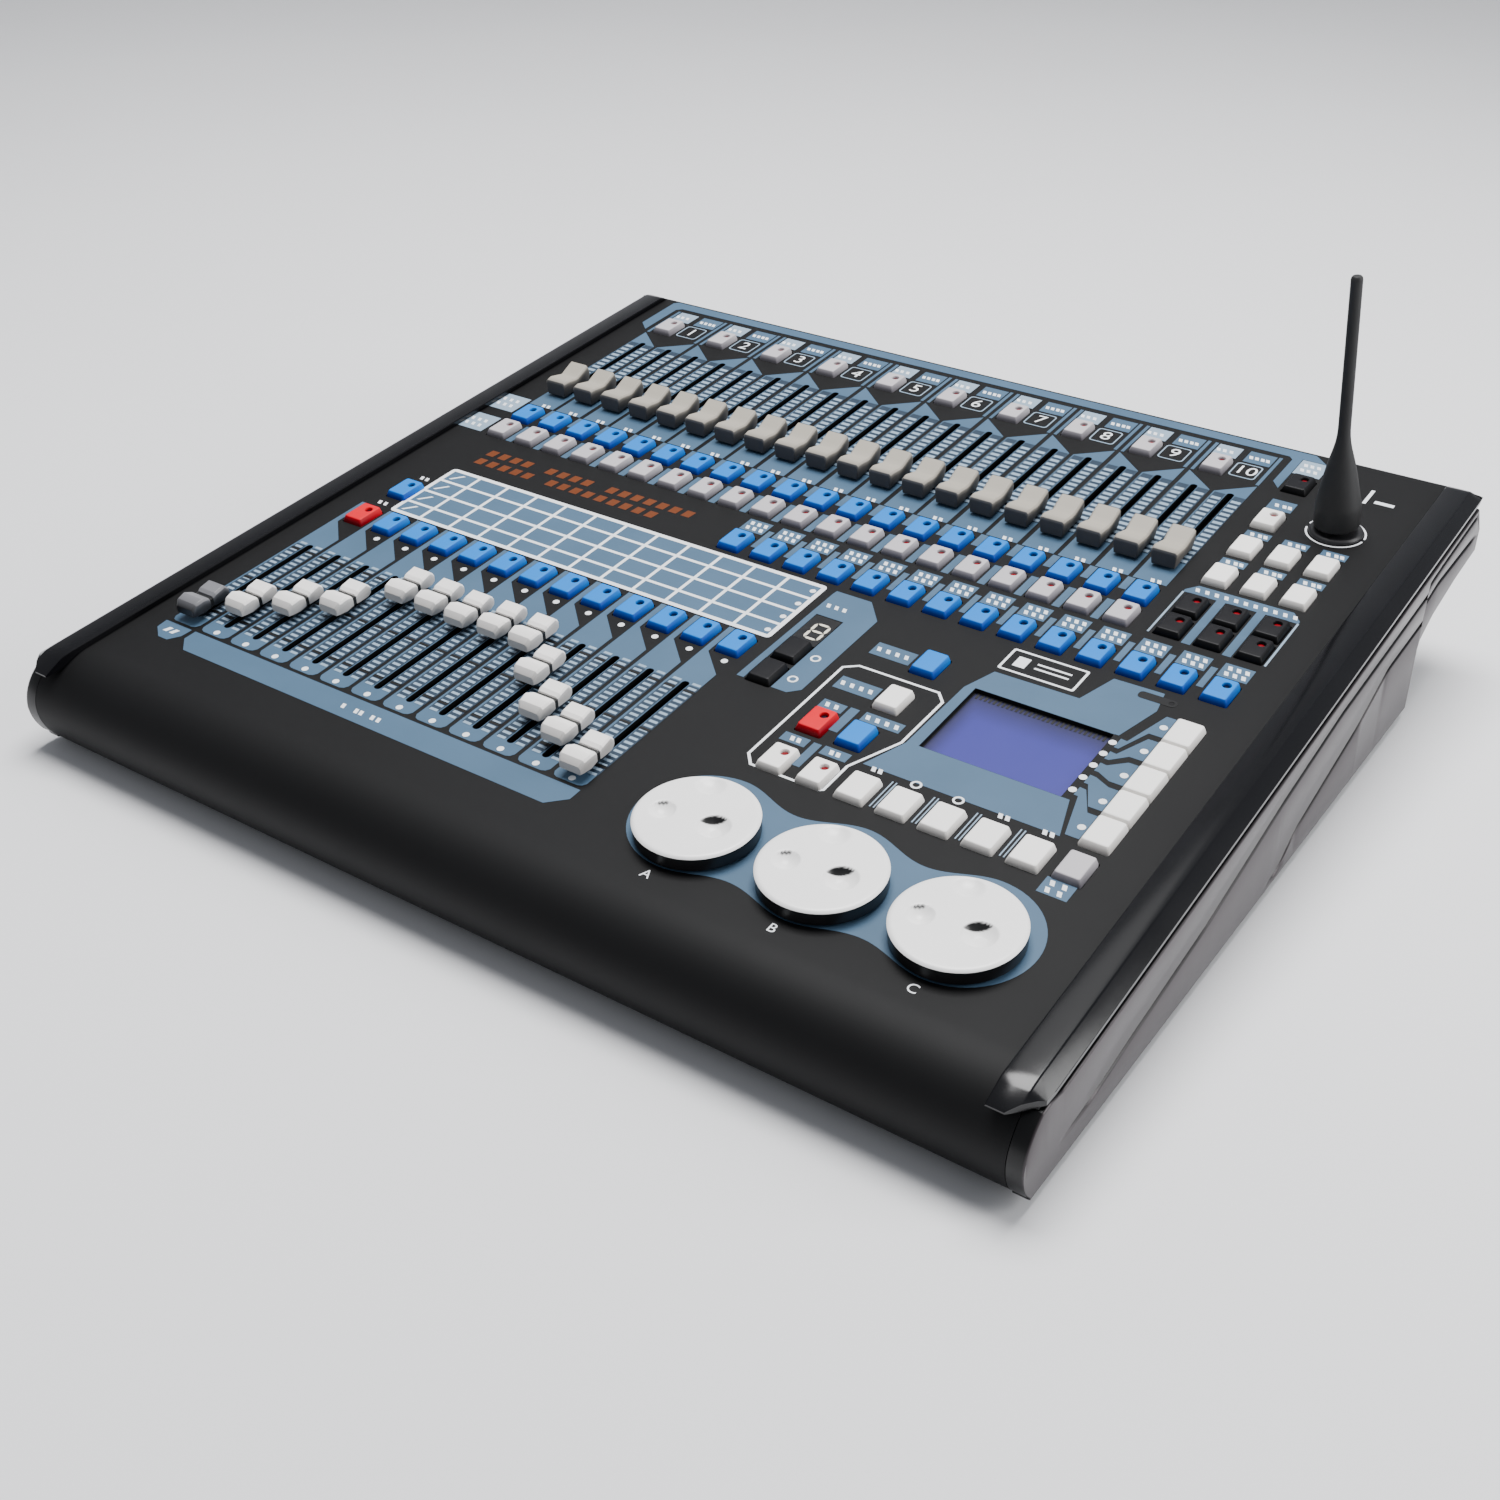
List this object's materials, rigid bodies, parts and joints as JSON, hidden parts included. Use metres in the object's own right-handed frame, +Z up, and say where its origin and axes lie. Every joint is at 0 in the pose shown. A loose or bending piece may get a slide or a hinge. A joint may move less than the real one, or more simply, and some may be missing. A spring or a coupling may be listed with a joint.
{
  "type": "lighting control desk",
  "caption": "Sloping stage lighting control desk with fader banks, lit keys, a small display, jog wheels, side cheeks and a short antenna.",
  "frame": {"origin": "centre of the footprint, on the table under the rubber feet", "axes": "+X to the operator's right, +Y away from the operator to the rear sockets, +Z up"},
  "size_m": [0.5082, 0.4752, 0.2105],
  "materials": {
    "black_paint": "fine textured satin black powder coat",
    "grey_paint": "satin warm grey paint",
    "gloss_black": "gloss black moulding",
    "circuit_board": "green solder mask",
    "zinc": "zinc plate",
    "display_glass": "clear window over a blue display",
    "black_moulding": "moulded black",
    "rubber": "matt black rubber",
    "white_cap": "white ABS, lightly polished",
    "stone_cap": "warm grey ABS",
    "blue_cap": "blue translucent ABS",
    "red_cap": "red translucent ABS",
    "grey_cap": "light grey ABS",
    "black_cap": "black ABS",
    "panel_print": "screen print on a satin overlay",
    "screw_steel": "blackened and plated screws"
  },
  "bodies": {
    "desk": {"top_panel": "black_paint", "bottom_tray": "black_paint", "rear_panel": "black_paint", "left_cheek": "grey_paint", "right_cheek": "grey_paint", "left_rail": "gloss_black", "right_rail": "gloss_black", "main_board": "circuit_board", "upper_fader_board": "circuit_board", "lower_fader_board": "circuit_board", "display_module": "circuit_board", "power_supply": "zinc", "usb_socket": "zinc", "display_window": "display_glass", "output_socket_a": "black_moulding", "output_socket_b": "black_moulding", "mains_inlet": "black_moulding", "antenna_collar": "black_moulding", "foot_1": "rubber", "foot_2": "rubber", "foot_3": "rubber", "foot_4": "rubber"},
    "power_rocker": {"power_rocker": "black_cap"},
    "antenna": {"antenna": "rubber"},
    "wheel_a": {"wheel_a": "white_cap"},
    "wheel_b": {"wheel_b": "white_cap"},
    "wheel_c": {"wheel_c": "white_cap"},
    "lower_fader_01": {"lower_fader_01": "black_cap"},
    "lower_fader_02": {"lower_fader_02": "white_cap"},
    "lower_fader_03": {"lower_fader_03": "white_cap"},
    "lower_fader_04": {"lower_fader_04": "white_cap"},
    "lower_fader_05": {"lower_fader_05": "white_cap"},
    "lower_fader_06": {"lower_fader_06": "white_cap"},
    "lower_fader_07": {"lower_fader_07": "white_cap"},
    "lower_fader_08": {"lower_fader_08": "white_cap"},
    "lower_fader_09": {"lower_fader_09": "white_cap"},
    "lower_fader_10": {"lower_fader_10": "white_cap"},
    "lower_fader_11": {"lower_fader_11": "white_cap"},
    "lower_fader_12": {"lower_fader_12": "white_cap"},
    "lower_fader_13": {"lower_fader_13": "white_cap"},
    "upper_faders_01": {"upper_faders_01": "stone_cap"},
    "upper_faders_02": {"upper_faders_02": "stone_cap"},
    "upper_faders_03": {"upper_faders_03": "stone_cap"},
    "upper_faders_04": {"upper_faders_04": "stone_cap"},
    "upper_faders_05": {"upper_faders_05": "stone_cap"},
    "upper_faders_06": {"upper_faders_06": "stone_cap"},
    "upper_faders_07": {"upper_faders_07": "stone_cap"},
    "upper_faders_08": {"upper_faders_08": "stone_cap"},
    "upper_faders_09": {"upper_faders_09": "stone_cap"},
    "upper_faders_10": {"upper_faders_10": "stone_cap"},
    "upper_key_row": {"upper_key_row": "blue_cap"},
    "middle_key_row": {"middle_key_row": "grey_cap"},
    "lower_key_row": {"lower_key_row": "blue_cap"},
    "flash_keys": {"flash_keys": "blue_cap"},
    "blackout_key": {"blackout_key": "red_cap"},
    "scene_group_keys": {"scene_group_keys": "grey_cap"},
    "page_and_scene_keys": {"page_and_scene_keys": "white_cap"},
    "function_keys": {"function_keys": "black_cap"},
    "menu_keys": {"menu_keys": "white_cap"},
    "program_keys": {"program_keys": "white_cap"}
  },
  "joints": [
    {"name": "power_rocker_tilt", "type": "hinge", "parent": "desk", "child": "power_rocker", "pos_m": [-0.1291, 0.1578, 0.02469], "axis": [-1, 0, 0], "range_deg": [0, 14]},
    {"name": "antenna_turn", "type": "hinge", "parent": "desk", "child": "antenna", "pos_m": [0.20605, 0.15995, 0.08605], "axis": [-0.0732, -0.1042, 0.9919], "range_deg": [-180, 180]},
    {"name": "wheel_a_turn", "type": "hinge", "parent": "desk", "child": "wheel_a", "pos_m": [0.07762, -0.17375, 0.05098], "axis": [0, -0.1045, 0.9945], "continuous": true},
    {"name": "wheel_b_turn", "type": "hinge", "parent": "desk", "child": "wheel_b", "pos_m": [0.13481, -0.17375, 0.05098], "axis": [0, -0.1045, 0.9945], "continuous": true},
    {"name": "wheel_c_turn", "type": "hinge", "parent": "desk", "child": "wheel_c", "pos_m": [0.19199, -0.17375, 0.05098], "axis": [0, -0.1045, 0.9945], "continuous": true},
    {"name": "lower_fader_01_slide", "type": "slide", "parent": "desk", "child": "lower_fader_01", "axis": [0, 0.9945, 0.1045], "range_m": [-0.00036, 0.05964]},
    {"name": "lower_fader_02_slide", "type": "slide", "parent": "desk", "child": "lower_fader_02", "axis": [0, 0.9945, 0.1045], "range_m": [-0.01252, 0.04748]},
    {"name": "lower_fader_03_slide", "type": "slide", "parent": "desk", "child": "lower_fader_03", "axis": [0, 0.9945, 0.1045], "range_m": [-0.02392, 0.03608]},
    {"name": "lower_fader_04_slide", "type": "slide", "parent": "desk", "child": "lower_fader_04", "axis": [0, 0.9945, 0.1045], "range_m": [-0.03551, 0.02449]},
    {"name": "lower_fader_05_slide", "type": "slide", "parent": "desk", "child": "lower_fader_05", "axis": [0, 0.9945, 0.1045], "range_m": [-0.0585, 0.0015]},
    {"name": "lower_fader_06_slide", "type": "slide", "parent": "desk", "child": "lower_fader_06", "axis": [0, 0.9945, 0.1045], "range_m": [-0.05812, 0.00188]},
    {"name": "lower_fader_07_slide", "type": "slide", "parent": "desk", "child": "lower_fader_07", "axis": [0, 0.9945, 0.1045], "range_m": [-0.05717, 0.00283]},
    {"name": "lower_fader_08_slide", "type": "slide", "parent": "desk", "child": "lower_fader_08", "axis": [0, 0.9945, 0.1045], "range_m": [-0.05812, 0.00188]},
    {"name": "lower_fader_09_slide", "type": "slide", "parent": "desk", "child": "lower_fader_09", "axis": [0, 0.9945, 0.1045], "range_m": [-0.05736, 0.00264]},
    {"name": "lower_fader_10_slide", "type": "slide", "parent": "desk", "child": "lower_fader_10", "axis": [0, 0.9945, 0.1045], "range_m": [-0.03912, 0.02088]},
    {"name": "lower_fader_11_slide", "type": "slide", "parent": "desk", "child": "lower_fader_11", "axis": [0, 0.9945, 0.1045], "range_m": [-0.01993, 0.04007]},
    {"name": "lower_fader_12_slide", "type": "slide", "parent": "desk", "child": "lower_fader_12", "axis": [0, 0.9945, 0.1045], "range_m": [-0.01157, 0.04843]},
    {"name": "lower_fader_13_slide", "type": "slide", "parent": "desk", "child": "lower_fader_13", "axis": [0, 0.9945, 0.1045], "range_m": [-0.00036, 0.05964]},
    {"name": "upper_faders_01_slide", "type": "slide", "parent": "desk", "child": "upper_faders_01", "axis": [0, 0.9945, 0.1045], "range_m": [0, 0.06]},
    {"name": "upper_faders_02_slide", "type": "slide", "parent": "desk", "child": "upper_faders_02", "axis": [0, 0.9945, 0.1045], "range_m": [0, 0.06]},
    {"name": "upper_faders_03_slide", "type": "slide", "parent": "desk", "child": "upper_faders_03", "axis": [0, 0.9945, 0.1045], "range_m": [0, 0.06]},
    {"name": "upper_faders_04_slide", "type": "slide", "parent": "desk", "child": "upper_faders_04", "axis": [0, 0.9945, 0.1045], "range_m": [0, 0.06]},
    {"name": "upper_faders_05_slide", "type": "slide", "parent": "desk", "child": "upper_faders_05", "axis": [0, 0.9945, 0.1045], "range_m": [0, 0.06]},
    {"name": "upper_faders_06_slide", "type": "slide", "parent": "desk", "child": "upper_faders_06", "axis": [0, 0.9945, 0.1045], "range_m": [0, 0.06]},
    {"name": "upper_faders_07_slide", "type": "slide", "parent": "desk", "child": "upper_faders_07", "axis": [0, 0.9945, 0.1045], "range_m": [0, 0.06]},
    {"name": "upper_faders_08_slide", "type": "slide", "parent": "desk", "child": "upper_faders_08", "axis": [0, 0.9945, 0.1045], "range_m": [0, 0.06]},
    {"name": "upper_faders_09_slide", "type": "slide", "parent": "desk", "child": "upper_faders_09", "axis": [0, 0.9945, 0.1045], "range_m": [0, 0.06]},
    {"name": "upper_faders_10_slide", "type": "slide", "parent": "desk", "child": "upper_faders_10", "axis": [0, 0.9945, 0.1045], "range_m": [0, 0.06]},
    {"name": "upper_key_row_press", "type": "slide", "parent": "desk", "child": "upper_key_row", "axis": [0, 0.1045, -0.9945], "range_m": [0, 0.0012], "stiffness_N_per_m": 800, "springref_m": -0.001},
    {"name": "middle_key_row_press", "type": "slide", "parent": "desk", "child": "middle_key_row", "axis": [0, 0.1045, -0.9945], "range_m": [0, 0.0012], "stiffness_N_per_m": 800, "springref_m": -0.001},
    {"name": "lower_key_row_press", "type": "slide", "parent": "desk", "child": "lower_key_row", "axis": [0, 0.1045, -0.9945], "range_m": [0, 0.0012], "stiffness_N_per_m": 800, "springref_m": -0.001},
    {"name": "flash_keys_press", "type": "slide", "parent": "desk", "child": "flash_keys", "axis": [0, 0.1045, -0.9945], "range_m": [0, 0.0012], "stiffness_N_per_m": 800, "springref_m": -0.001},
    {"name": "blackout_key_press", "type": "slide", "parent": "desk", "child": "blackout_key", "axis": [0, 0.1045, -0.9945], "range_m": [0, 0.0012], "stiffness_N_per_m": 400, "springref_m": -0.001},
    {"name": "scene_group_keys_press", "type": "slide", "parent": "desk", "child": "scene_group_keys", "axis": [0, 0.1045, -0.9945], "range_m": [0, 0.0012], "stiffness_N_per_m": 800, "springref_m": -0.001},
    {"name": "page_and_scene_keys_press", "type": "slide", "parent": "desk", "child": "page_and_scene_keys", "axis": [0, 0.1045, -0.9945], "range_m": [0, 0.0012], "stiffness_N_per_m": 800, "springref_m": -0.001},
    {"name": "function_keys_press", "type": "slide", "parent": "desk", "child": "function_keys", "axis": [0, 0.1045, -0.9945], "range_m": [0, 0.0012], "stiffness_N_per_m": 800, "springref_m": -0.001},
    {"name": "menu_keys_press", "type": "slide", "parent": "desk", "child": "menu_keys", "axis": [0, 0.1045, -0.9945], "range_m": [0, 0.0012], "stiffness_N_per_m": 800, "springref_m": -0.001},
    {"name": "program_keys_press", "type": "slide", "parent": "desk", "child": "program_keys", "axis": [0, 0.1045, -0.9945], "range_m": [0, 0.0012], "stiffness_N_per_m": 800, "springref_m": -0.001}
  ]
}
